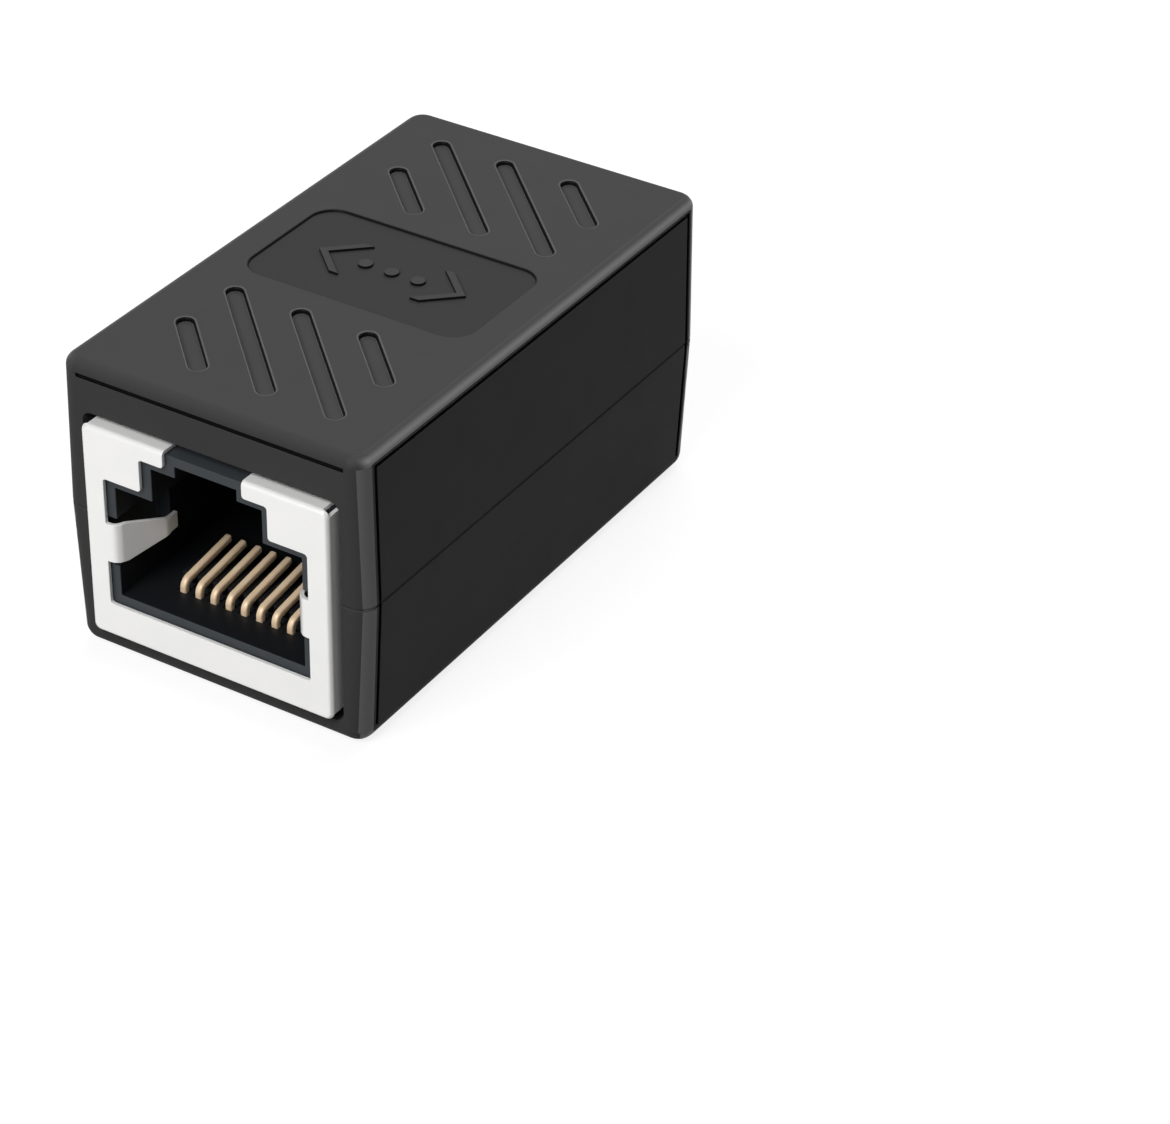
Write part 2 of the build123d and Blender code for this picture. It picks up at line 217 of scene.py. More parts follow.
@dataclass(frozen=True)
class RimPaintedHighlight(MouldedPlastic):
    """The same plastic on the long top edges, with a finer grain and a painted highlight.

    The eye gets an edge whose painted highlight pales from the grained face, at the upper height, down to the
    side of the body, and darkens again towards both ends, where the edge turns the corner of the body. The
    second tone, given as the drift colour, is the painted highlight's colour.
    """

    upper_mm: float = 18.26
    lower_mm: float = 17.97
    straight_mm: float = 16.3
    turned_mm: float = 16.95

    def tone(self, tree: bpy.types.NodeTree, space: bpy.types.NodeSocket) -> bpy.types.NodeSocket:
        """Give the colour: a painted highlight that turns to the second tone down the rounding, and back
        again at the ends.

        Args:
            tree: Shader tree that gets the nodes.
            space: Object coordinates in metres.

        Returns:
            The colour.
        """
        place = add_node(tree, "ShaderNodeSeparateXYZ", links={0: space})
        down = add_node(tree, "ShaderNodeMapRange",
                        {"From Min": self.upper_mm * MM, "From Max": self.lower_mm * MM},
                        {"Value": place.outputs["Z"]}, interpolation_type="SMOOTHSTEP")
        along = add_node(tree, "ShaderNodeMath", links={0: place.outputs["Y"]}, operation="ABSOLUTE")
        straight = add_node(tree, "ShaderNodeMapRange",
                            {"From Min": self.turned_mm * MM, "From Max": self.straight_mm * MM},
                            {"Value": along.outputs[0]}, interpolation_type="SMOOTHSTEP")
        # The share is the painted highlight: paler down the rounding, fading out towards both ends.
        share = add_node(tree, "ShaderNodeMath",
                         links={0: down.outputs["Result"], 1: straight.outputs["Result"]},
                         operation="MULTIPLY")
        return blend(tree, share.outputs[0], self.colour, self.drift)


@dataclass(frozen=True)
class PlatedSheet:
    """Nickel-plated brass sheet, rolled, then stamped and folded.

    The eye gets a bright, slightly milky metal. Rolling lines run along the sheet and stretch highlights
    across them, and a faint cloud in the plating keeps large faces from looking like a mirror. The face round
    the window is polished, and the folded flanks and fingers are milky and scatter most of the light.
    """

    name: str
    colour: str
    cloud: str
    roughness: float
    roll_mm: float
    roll_length_mm: float
    roll_depth_mm: float
    milky: float
    polished: float
    across: Triple
    cloud_mm: float = 2.5
    roll_strength: float = 0.1
    duller: float = 0.05
    shinier: float = 0.03
    milky_facing: float = 0.75
    polished_facing: float = 0.97

    def build(self) -> bpy.types.Material:
        """Make the material.

        Returns:
            The material.
        """
        material, tree = blank_material(self.name)
        fine, long = 1 / (self.roll_mm * MM), 1 / (self.roll_length_mm * MM)
        stretch = tuple(fine if part else long for part in self.across)
        rolled = add_node(tree, "ShaderNodeTexNoise", {"Scale": 1.0, "Detail": 1.5, "Roughness": 0.5},
                          {"Vector": object_pattern(tree, stretch)})
        cloud = add_node(tree, "ShaderNodeTexNoise", {"Scale": 1 / (self.cloud_mm * MM), "Detail": 3.0},
                         {"Vector": object_pattern(tree)})
        tone = blend(tree, cloud.outputs["Fac"], self.colour, self.cloud)
        shine = add_node(tree, "ShaderNodeMapRange", {"From Min": NOISE_LOW, "From Max": NOISE_HIGH,
                                                      "To Min": self.roughness - self.shinier,
                                                      "To Max": self.roughness + self.duller},
                         {"Value": rolled.outputs["Fac"]})
        bump = add_node(tree, "ShaderNodeBump",
                        {"Strength": self.roll_strength, "Distance": self.roll_depth_mm * MM},
                        {"Height": rolled.outputs["Fac"]})
        # The share of scattered light follows the way that the sheet faces: polished where it faces a plug.
        surface = add_node(tree, "ShaderNodeNewGeometry")
        facing = add_node(tree, "ShaderNodeSeparateXYZ", links={0: surface.outputs["Normal"]})
        ahead = add_node(tree, "ShaderNodeMath", links={0: facing.outputs["Y"]}, operation="ABSOLUTE")
        metal = add_node(tree, "ShaderNodeMapRange",
                         {"From Min": self.milky_facing, "From Max": self.polished_facing,
                          "To Min": self.milky, "To Max": self.polished},
                         {"Value": ahead.outputs[0]})
        shader = add_node(tree, "ShaderNodeBsdfPrincipled",
                          links={"Base Color": tone, "Roughness": shine.outputs["Result"],
                                 "Metallic": metal.outputs["Result"], "Normal": bump.outputs["Normal"]})
        add_node(tree, "ShaderNodeOutputMaterial", links={"Surface": shader.outputs["BSDF"]})
        return material


@dataclass(frozen=True)
class GiltWire:
    """Phosphor-bronze spring wire with a thin gold plating.

    The eye gets a pale, warm metal with fine drawing lines along the wire and a slightly redder tone where
    the plating is thin. The plating scatters most of the light, so the wire isn't a mirror.
    """

    name: str
    colour: str
    thin: str
    roughness: float
    metallic: float
    draw_mm: float
    draw_depth_mm: float = 0.002
    draw_strength: float = 0.3
    thin_patch_mm: float = 0.8
    uneven_shine: float = 0.06
    draw_stretch: Triple = (1.0, 1 / 25, 1 / 2)

    def build(self) -> bpy.types.Material:
        """Make the material.

        Returns:
            The material.
        """
        material, tree = blank_material(self.name)
        stretch = tuple(part / (self.draw_mm * MM) for part in self.draw_stretch)
        drawn = add_node(tree, "ShaderNodeTexNoise", {"Scale": 1.0, "Detail": 2.0},
                         {"Vector": object_pattern(tree, stretch)})
        patch = add_node(tree, "ShaderNodeTexNoise", {"Scale": 1 / (self.thin_patch_mm * MM), "Detail": 2.0},
                         {"Vector": object_pattern(tree)})
        tone = blend(tree, patch.outputs["Fac"], self.colour, self.thin)
        shine = add_node(tree, "ShaderNodeMapRange", {"To Min": self.roughness - self.uneven_shine,
                                                      "To Max": self.roughness + self.uneven_shine},
                         {"Value": drawn.outputs["Fac"]})
        bump = add_node(tree, "ShaderNodeBump",
                        {"Strength": self.draw_strength, "Distance": self.draw_depth_mm * MM},
                        {"Height": drawn.outputs["Fac"]})
        shader = add_node(tree, "ShaderNodeBsdfPrincipled", {"Metallic": self.metallic},
                          {"Base Color": tone, "Roughness": shine.outputs["Result"],
                           "Normal": bump.outputs["Normal"]})
        add_node(tree, "ShaderNodeOutputMaterial", links={"Surface": shader.outputs["BSDF"]})
        return material


@dataclass(frozen=True)
class BoardLaminate:
    """Glass-epoxy laminate under green solder resist.

    The eye gets a smooth, deep green gloss with the faint square weave of the glass cloth under it.
    """

    name: str
    colour: str
    weave: str
    thread_mm: float
    roughness: float = 0.28
    ior: float = 1.55
    thread_waver: float = 0.4

    def build(self) -> bpy.types.Material:
        """Make the material.

        Returns:
            The material.
        """
        material, tree = blank_material(self.name)
        # A Wave texture multiplies its place by 20 inside the sine, so the scale is that much smaller.
        scale = 2 * math.pi / (self.thread_mm * MM * 20)
        space = object_pattern(tree)
        warp, weft = (add_node(tree, "ShaderNodeTexWave", {"Scale": scale, "Distortion": self.thread_waver},
                               {"Vector": space}, bands_direction=axis) for axis in ("X", "Z"))
        cloth = add_node(tree, "ShaderNodeMath", links={0: warp.outputs["Fac"], 1: weft.outputs["Fac"]},
                         operation="MULTIPLY")
        tone = blend(tree, cloth.outputs["Value"], self.colour, self.weave)
        shader = add_node(tree, "ShaderNodeBsdfPrincipled", {"Roughness": self.roughness, "IOR": self.ior},
                          {"Base Color": tone})
        add_node(tree, "ShaderNodeOutputMaterial", links={"Surface": shader.outputs["BSDF"]})
        return material


@dataclass(frozen=True)
class SolderFillet:
    """Tin solder that wetted a pin and a pad and set with a slightly wavy, bright skin."""

    name: str
    colour: str
    roughness: float
    ripple_mm: float
    ripple_depth_mm: float = 0.01
    ripple_strength: float = 0.4
    duller: float = 0.1
    shinier: float = 0.08

    def build(self) -> bpy.types.Material:
        """Make the material.

        Returns:
            The material.
        """
        material, tree = blank_material(self.name)
        ripple = add_node(tree, "ShaderNodeTexNoise", {"Scale": 1 / (self.ripple_mm * MM), "Detail": 2.0},
                          {"Vector": object_pattern(tree)})
        shine = add_node(tree, "ShaderNodeMapRange", {"To Min": self.roughness - self.shinier,
                                                      "To Max": self.roughness + self.duller},
                         {"Value": ripple.outputs["Fac"]})
        bump = add_node(tree, "ShaderNodeBump",
                        {"Strength": self.ripple_strength, "Distance": self.ripple_depth_mm * MM},
                        {"Height": ripple.outputs["Fac"]})
        shader = add_node(tree, "ShaderNodeBsdfPrincipled",
                          {"Metallic": 1.0, "Base Color": linear(self.colour)},
                          {"Roughness": shine.outputs["Result"], "Normal": bump.outputs["Normal"]})
        add_node(tree, "ShaderNodeOutputMaterial", links={"Surface": shader.outputs["BSDF"]})
        return material


@dataclass(frozen=True)
class EdgeRounding:
    """How far the edges of a moulded or stamped piece are eased, in millimetres.

    The lips on one or more flat levels can be eased further than the rest. An edge with less than the
    smallest turn, in degrees, stays as it is, and the shading blends over turns up to the widest blend.
    """

    width: float
    segments: int = 2
    lip_width: float = 0.0
    lip_levels: tuple[float, ...] = ()
    smallest_turn: float = 32.0
    widest_blend: float = 50.0
    level_slack: float = 0.001

    @property
    def widest(self) -> float:
        """The larger of the two widths, which a bevel weight of 1 stands for."""
        return max(self.width, self.lip_width)

    def share(self, edge: bmesh.types.BMEdge) -> float:
        """Give an edge's bevel weight.

        Args:
            edge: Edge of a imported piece.

        Returns:
            0 for a smooth edge, up to 1 for one with the widest easing.
        """
        if len(edge.link_faces) != 2 or math.degrees(edge.calc_face_angle(0.0)) < self.smallest_turn:
            return 0.0
        for level in self.lip_levels:
            if all(abs(v.co.z - level * MM) < self.level_slack * MM for v in edge.verts):
                return self.lip_width / self.widest
        return self.width / self.widest


def dressed_copy(node: str, name: str, rounding: EdgeRounding,
                 finish: bpy.types.Material) -> bpy.types.Object:
    """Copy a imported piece, join its loose triangles, ease its edges and give it a finish.

    Args:
        node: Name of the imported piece.
        name: Name of the new piece.
        rounding: How far the edges are eased.
        finish: Material of the new piece.

    Returns:
        The new piece, a plain mesh with its place in its vertices.
    """
    mesh = bpy.data.meshes.new(name)
    shape = bmesh.new()
    shape.from_mesh(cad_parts[node].data)
    bmesh.ops.remove_doubles(shape, verts=shape.verts, dist=WELD * MM)
    bmesh.ops.dissolve_limit(shape, angle_limit=FLAT_TURN, verts=shape.verts, edges=shape.edges)
    # Convex faces only: a face that runs round a window or a slot doesn't survive the easing of its edges.
    bmesh.ops.connect_verts_concave(shape, faces=shape.faces)
    weight = shape.edges.layers.float.new("bevel_weight_edge")
    for edge in shape.edges:
        edge[weight] = rounding.share(edge)
    for face in shape.faces:
        face.smooth = True
    shape.to_mesh(mesh)
    shape.free()
    mesh.materials.clear()
    mesh.materials.append(finish)
    piece = bpy.data.objects.new(name, mesh)
    bpy.context.scene.collection.objects.link(piece)
    ease = piece.modifiers.new("ease", "BEVEL")
    ease.width = rounding.widest * MM
    ease.segments = rounding.segments
    ease.limit_method = "WEIGHT"
    ease.use_clamp_overlap = False
    ease.loop_slide = False
    plain_mesh(piece)
    lay_normals(piece.data, rounding.widest_blend)
    return piece


def flat_regions(shape: bmesh.types.BMesh) -> tuple[list[int], list[tuple[float, Vector]]]:
    """Sort the faces of a mesh into flat regions.

    Args:
        shape: The mesh, with its faces indexed.

    Returns:
        The region number of every face, and the area and normal of every region.
    """
    alike = math.cos(FLAT_TURN)
    numbers = [-1] * len(shape.faces)
    regions = []
    for first in shape.faces:
        if numbers[first.index] >= 0:
            continue
        numbers[first.index] = len(regions)
        waiting, area = [first], 0.0
        while waiting:
            face = waiting.pop()
            area += face.calc_area()
            for edge in face.edges:
                for other in edge.link_faces:
                    if numbers[other.index] < 0 and other.normal.dot(first.normal) > alike:
                        numbers[other.index] = len(regions)
                        waiting.append(other)
        regions.append((area, first.normal.copy()))
    return numbers, regions


def lay_normals(mesh: bpy.types.Mesh, widest: float) -> None:
    """Shade flat faces flat and let the eased edges between them blend from one to the other.

    Args:
        mesh: Mesh that gets the normals.
        widest: Largest turn, in degrees, over which the shading blends.
    """
    shape = bmesh.new()
    shape.from_mesh(mesh)
    shape.faces.ensure_lookup_table()
    numbers, regions = flat_regions(shape)
    limit = math.cos(math.radians(widest))
    normals = []
    for face in shape.faces:
        for loop in face.loops:
            total = Vector()
            for number in {numbers[other.index] for other in loop.vert.link_faces}:
                area, normal = regions[number]
                if normal.dot(face.normal) > limit:
                    total += normal * area
            normals.append(total.normalized() if total.length > 0 else face.normal.copy())
    shape.free()
    mesh.normals_split_custom_set(normals)


def plain_mesh(piece: bpy.types.Object) -> None:
    """Turn a piece's evaluated shape into its own mesh and take its modifiers off.

    Args:
        piece: Piece with one or more modifiers.
    """
    name = piece.name
    depsgraph = bpy.context.evaluated_depsgraph_get()
    made = bpy.data.meshes.new_from_object(piece.evaluated_get(depsgraph), depsgraph=depsgraph)
    piece.modifiers.clear()
    before = piece.data
    piece.data = made
    bpy.data.meshes.remove(before)
    made.name = name


def settle(piece: bpy.types.Object, nodes: tuple[str, ...] = ()) -> None:
    """Join a finished piece to the coupler's one body and report it.

    Args:
        piece: The finished piece.
        nodes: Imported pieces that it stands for.
    """
    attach(piece, "root")
    if nodes:
        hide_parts(*nodes)
    LOG.info("%s: %d faces", piece.name, len(piece.data.polygons))


def point_object(name: str, points: list[Triple], joined: bool) -> bpy.types.Object:
    """Make a carrier object from points.

    Args:
        name: Name of the object.
        points: The points, in millimetres.
        joined: Whether edges join them into one line.

    Returns:
        The carrier object.
    """
    mesh = bpy.data.meshes.new(name)
    edges = [(i, i + 1) for i in range(len(points) - 1)] if joined else []
    mesh.from_pydata([Vector(point) * MM for point in points], edges, [])
    piece = bpy.data.objects.new(name, mesh)
    bpy.context.scene.collection.objects.link(piece)
    return piece


@dataclass
class FormTree:
    """A Geometry Nodes tree with named size inputs, a Realize Instances node and a Set Material node."""

    name: str
    sizes: dict[str, float]
    tree: bpy.types.NodeTree = field(init=False)
    start: bpy.types.Node = field(init=False)

    def __post_init__(self) -> None:
        """Make the empty tree with its inputs."""
        self.tree = bpy.data.node_groups.new(self.name, "GeometryNodeTree")
        face = self.tree.interface
        face.new_socket("Geometry", in_out="INPUT", socket_type="NodeSocketGeometry")
        for label, value in self.sizes.items():
            socket = face.new_socket(label, in_out="INPUT", socket_type="NodeSocketFloat")
            socket.default_value = value * MM
        face.new_socket("Finish", in_out="INPUT", socket_type="NodeSocketMaterial")
        face.new_socket("Geometry", in_out="OUTPUT", socket_type="NodeSocketGeometry")
        self.start = add_node(self.tree, "NodeGroupInput")

    def size(self, label: str) -> bpy.types.NodeSocket:
        """Give the socket of one named size."""
        return self.start.outputs[label]

    def close(self, geometry: bpy.types.NodeSocket) -> None:
        """End the tree: realize the instances, set the material and hand the result out.

        Args:
            geometry: Output that holds the finished form.
        """
        real = add_node(self.tree, "GeometryNodeRealizeInstances", links={"Geometry": geometry})
        dressed = add_node(self.tree, "GeometryNodeSetMaterial",
                           links={"Geometry": real.outputs["Geometry"],
                                  "Material": self.start.outputs["Finish"]})
        add_node(self.tree, "NodeGroupOutput", links={"Geometry": dressed.outputs["Geometry"]})

    def apply(self, piece: bpy.types.Object, finish: bpy.types.Material, **sizes: float) -> bpy.types.Object:
        """Run the tree on a carrier object and keep the result as a plain mesh.

        Args:
            piece: Object whose mesh is the tree's input.
            finish: Material for the result.
            **sizes: Sizes in millimetres that differ from the tree's own, by their labels with underscores.

        Returns:
            The same object with its new mesh.
        """
        modifier = piece.modifiers.new(self.name, "NODES")
        modifier.node_group = self.tree
        sockets = {item.name: item.identifier for item in self.tree.interface.items_tree
                   if item.in_out == "INPUT"}
        changed = {key.replace("_", " "): value for key, value in sizes.items()}
        for label, value in {**self.sizes, **changed}.items():
            modifier[sockets[label]] = value * MM
        modifier[sockets["Finish"]] = finish
        plain_mesh(piece)
        piece.data.set_sharp_from_angle(angle=SHARP_TURN)
        return piece


def build_strip_tree() -> FormTree:
    """Make the tree that runs a rounded strip along a line of points with eased bends.

    Returns:
        The tree. Its input is a mesh of joined points.
    """
    form = FormTree("strip_along_route", {"Strip width": 0.45, "Strip thickness": 0.4, "Strip corner": 0.12,
                                          "Bend radius": 0.42})
    tree = form.tree
    bend_steps, corner_steps = 8, 4
    route = add_node(tree, "GeometryNodeMeshToCurve", links={"Mesh": form.start.outputs["Geometry"]})
    eased = add_node(tree, "GeometryNodeFilletCurve", {"Count": bend_steps, "Limit Radius": True},
                     {"Curve": route.outputs["Curve"], "Radius": form.size("Bend radius")}, mode="POLY")
    flat = add_node(tree, "GeometryNodeCurvePrimitiveQuadrilateral",
                    links={"Width": form.size("Strip thickness"), "Height": form.size("Strip width")})
    section = add_node(tree, "GeometryNodeFilletCurve", {"Count": corner_steps, "Limit Radius": True},
                       {"Curve": flat.outputs["Curve"], "Radius": form.size("Strip corner")}, mode="POLY")
    swept = add_node(tree, "GeometryNodeCurveToMesh", {"Fill Caps": True},
                     {"Curve": eased.outputs["Curve"], "Profile Curve": section.outputs["Curve"]})
    smooth = add_node(tree, "GeometryNodeSetShadeSmooth", links={"Geometry": swept.outputs["Mesh"]})
    form.close(smooth.outputs["Geometry"])
    return form


def build_joint_tree() -> FormTree:
    """Make the tree that sets a pad with a cone of solder at every point.

    Returns:
        The tree. Its input is a mesh of loose points with the vector attribute outward.
    """
    form = FormTree("solder_joint_at_points", {"Pad radius": 0.55, "Neck radius": 0.3, "Joint height": 0.5,
                                               "Pad thickness": 0.05})
    tree = form.tree
    around, upward, waist_drawn_in = 20, 5, 0.22
    pad = add_node(tree, "GeometryNodeMeshCylinder", {"Vertices": around},
                   {"Radius": form.size("Pad radius"), "Depth": form.size("Pad thickness")})
    cone = add_node(tree, "GeometryNodeMeshCone", {"Vertices": around, "Side Segments": upward},
                    {"Radius Top": form.size("Neck radius"), "Radius Bottom": form.size("Pad radius"),
                     "Depth": form.size("Joint height")})
    # Surface tension draws the side of the cone in: middle heights are pulled towards the pin.
    place = add_node(tree, "GeometryNodeInputPosition")
    parts = add_node(tree, "ShaderNodeSeparateXYZ", links={0: place.outputs["Position"]})
    height = add_node(tree, "ShaderNodeMath", links={0: parts.outputs["Z"], 1: form.size("Joint height")},
                      operation="DIVIDE")
    bow = add_node(tree, "ShaderNodeMath", {1: math.pi}, {0: height.outputs[0]}, operation="MULTIPLY")
    sine = add_node(tree, "ShaderNodeMath", links={0: bow.outputs[0]}, operation="SINE")
    waist = add_node(tree, "ShaderNodeMath", {1: -waist_drawn_in, 2: 1.0}, {0: sine.outputs[0]},
                     operation="MULTIPLY_ADD")
    wide = add_node(tree, "ShaderNodeCombineXYZ", {2: 1.0}, {0: waist.outputs[0], 1: waist.outputs[0]})
    moved = add_node(tree, "ShaderNodeVectorMath", links={0: place.outputs["Position"], 1: wide.outputs[0]},
                     operation="MULTIPLY")
    drawn = add_node(tree, "GeometryNodeSetPosition",
                     links={"Geometry": cone.outputs["Mesh"], "Position": moved.outputs[0]})
    joint = add_node(tree, "GeometryNodeJoinGeometry", links={0: pad.outputs["Mesh"]})
    tree.links.new(drawn.outputs["Geometry"], joint.inputs[0])
    normal = add_node(tree, "GeometryNodeInputNamedAttribute", {"Name": "outward"}, data_type="FLOAT_VECTOR")
    turn = add_node(tree, "FunctionNodeAlignRotationToVector", links={"Vector": normal.outputs["Attribute"]})
    set_out = add_node(tree, "GeometryNodeInstanceOnPoints",
                       links={"Points": form.start.outputs["Geometry"], "Instance": joint.outputs["Geometry"],
                              "Rotation": turn.outputs["Rotation"]})
    smooth = add_node(tree, "GeometryNodeSetShadeSmooth", links={"Geometry": set_out.outputs["Instances"]})
    form.close(smooth.outputs["Geometry"])
    return form


class Skin(Enum):
    """The kinds of surface on the housing, in the order of the shells' material slots."""

    GRAINED = 0
    # RIM, CORNER and LIP carry painted highlights; PLATE and GROOVE carry painted shade.
    RIM = 1
    CORNER = 2
    LIP = 3
    PLATE = 4
    GROOVE = 5


@dataclass
class Housing:
    """The two moulded shells of the housing, with their slots, name plates and witness grooves.

    The values from wall_up to corner_along are parts of a face's normal, from 0 for square to an axis to 1
    for along it. They tell the walls, the eased lips and the roundings of the moulding from its flat faces.
    """

    body_height: float = 18.3
    parting_height: float = 9.0
    bottom_half: float = 9.55
    parting_half: float = 9.95
    top_half: float = 9.75
    half_length: float = 17.2
    edge: float = 0.035
    lip: float = 0.12
    rim: float = 0.65
    corner: float = 1.1
    plate_depth: float = 0.18
    plate_half: float = 4.6
    relief_half: Pair = (9.0, 16.5)
    relief_deepest: float = 0.4
    groove_depths: Pair = (0.03, 0.25)
    groove_heights: Pair = (17.31, 17.65)
    groove_upright: float = 15.76
    groove_foot: float = 0.95
    plate_slack: float = 0.015
    rim_slack: float = 0.02
    wall_up: float = 0.72
    flat_up: float = 0.985
    rim_turn: float = 0.12
    corner_across: float = 0.6
    corner_along: float = 0.1
    finishes: dict[Skin, MouldedPlastic] = field(default_factory=lambda: {
        Skin.GRAINED: MouldedPlastic(
            "black_abs_spark_eroded", "#444444", "#424242", roughness=0.55, ior=1.46, specular=0.03,
            grain_mm=0.16, grain_depth_mm=0.012, mottle_mm=2.2),
        # The rim's pale second tone is a painted highlight along the rounded top edges.
        Skin.RIM: RimPaintedHighlight(
            "black_abs_rim_painted_highlight", "#464646", "#929292", roughness=0.5, ior=1.46, specular=0.05,
            grain_mm=0.3, grain_depth_mm=0.004, mottle_mm=2.2),
        # The upright corners' paler tone is a painted highlight.
        Skin.CORNER: MouldedPlastic(
            "black_abs_corner_painted_highlight", "#5e5e5e", "#585858", roughness=0.45, ior=1.46, specular=0.3,
            grain_mm=0.3, grain_depth_mm=0.004, mottle_mm=2.2),
        # The eased lips' paler tone is a painted highlight.
        Skin.LIP: MouldedPlastic(
            "black_abs_lip_painted_highlight", "#5f5f5f", "#5c5c5c", roughness=0.5, ior=1.46, specular=0.03,
            grain_mm=0.3, grain_depth_mm=0.004, mottle_mm=2.2),
        # The plate floor has a finer grain, and its darker tone is painted shade of the recess.
        Skin.PLATE: MouldedPlastic(
            "black_abs_fine_plate_painted_shade", "#3b3b3b", "#393939", roughness=0.6, ior=1.46, specular=0.03,
            grain_mm=0.11, grain_depth_mm=0.014, mottle_mm=2.2),
        # The near-black walls of the recesses and grooves are painted shade.
        Skin.GROOVE: MouldedPlastic(
            "black_abs_wall_painted_shade", "#121212", "#0f0f0f", roughness=0.4, ior=1.46, specular=0.05,
            grain_mm=0.3, grain_depth_mm=0.002, mottle_mm=2.2),
    })

    def side_at(self, height: float) -> float:
        """Give half the width of the body at a height, with the draft of its sides.

        Args:
            height: Height above the underside.

        Returns:
            Half the width, in millimetres.
        """
        if height < self.parting_height:
            return self.bottom_half + (self.parting_half - self.bottom_half) * height / self.parting_height
        share = (height - self.parting_height) / (self.body_height - self.parting_height)
        return self.parting_half + (self.top_half - self.parting_half) * share

    def in_witness_groove(self, x: float, y: float, z: float) -> bool:
        """Tell whether a point lies inside a fine groove of a side or an end face.

        Args:
            x: Distance from the middle plane, in millimetres.
            y: Distance from the middle along the body.
            z: Height above the underside.

        Returns:
            Whether it lies in a groove.
        """
        shallow, deep = self.groove_depths
        low, high = self.groove_heights
        beside = shallow < self.side_at(z) - x < deep and y < self.half_length - self.corner
        line = low < z < high
        upright = y > self.groove_upright and self.groove_foot < z < high
        ahead = shallow < self.half_length - y < deep and x < self.top_half - self.corner
        return (beside and (line or upright)) or (ahead and line)

    def skin(self, face: bpy.types.MeshPolygon) -> Skin:
        """Tell which kind of surface a face belongs to.

        Args:
            face: Face of one of the shells.

        Returns:
            The kind of surface.
        """
        x, y, z = (abs(value) / MM for value in face.center)
        across, along, up = (abs(value) for value in face.normal)
        depth = min(z, self.body_height - z)
        wide, long = self.relief_half
        if x < wide and y < long and depth < self.relief_deepest:
            # The walls of the slots, the plate and its mark get painted shade.
            if up < self.wall_up:
                return Skin.GROOVE
            if y < self.plate_half:
                # The floor of the name plate gets the finer grain and the painted shade.
                on_plate = abs(depth - self.plate_depth) < self.plate_slack
                return Skin.PLATE if on_plate else Skin.GRAINED
            # The eased lips of the slots get a painted highlight.
            return Skin.LIP if up < self.flat_up else Skin.GRAINED
        # The witness grooves get painted shade too.
        if self.in_witness_groove(x, y, z):
            return Skin.GROOVE
        rim_foot = self.body_height - self.rim
        leaning = across > self.rim_turn and up > self.rim_turn
        # The rounding of the long top edges gets the painted highlight.
        if leaning and x > self.top_half - self.corner and z > rim_foot - self.rim_slack:
            return Skin.RIM
        # The upright corner roundings get a painted highlight.
        turned = across > self.corner_across and along > self.corner_along
        if turned and y > self.half_length - self.corner and z < rim_foot:
            return Skin.CORNER
        return Skin.GRAINED

    def build(self) -> None:
        """Make both shells."""
        materials = [self.finishes[skin].build() for skin in Skin]
        rounding = EdgeRounding(self.edge, lip_width=self.lip, lip_levels=(0.0, self.body_height))
        for part in ("upper", "lower"):
            piece = dressed_copy(f"{part}_shell", f"{part}_shell_moulding", rounding, materials[0])
            for material in materials[1:]:
                piece.data.materials.append(material)
            for face in piece.data.polygons:
                face.material_index = self.skin(face).value
            settle(piece, (f"{part}_shell",))


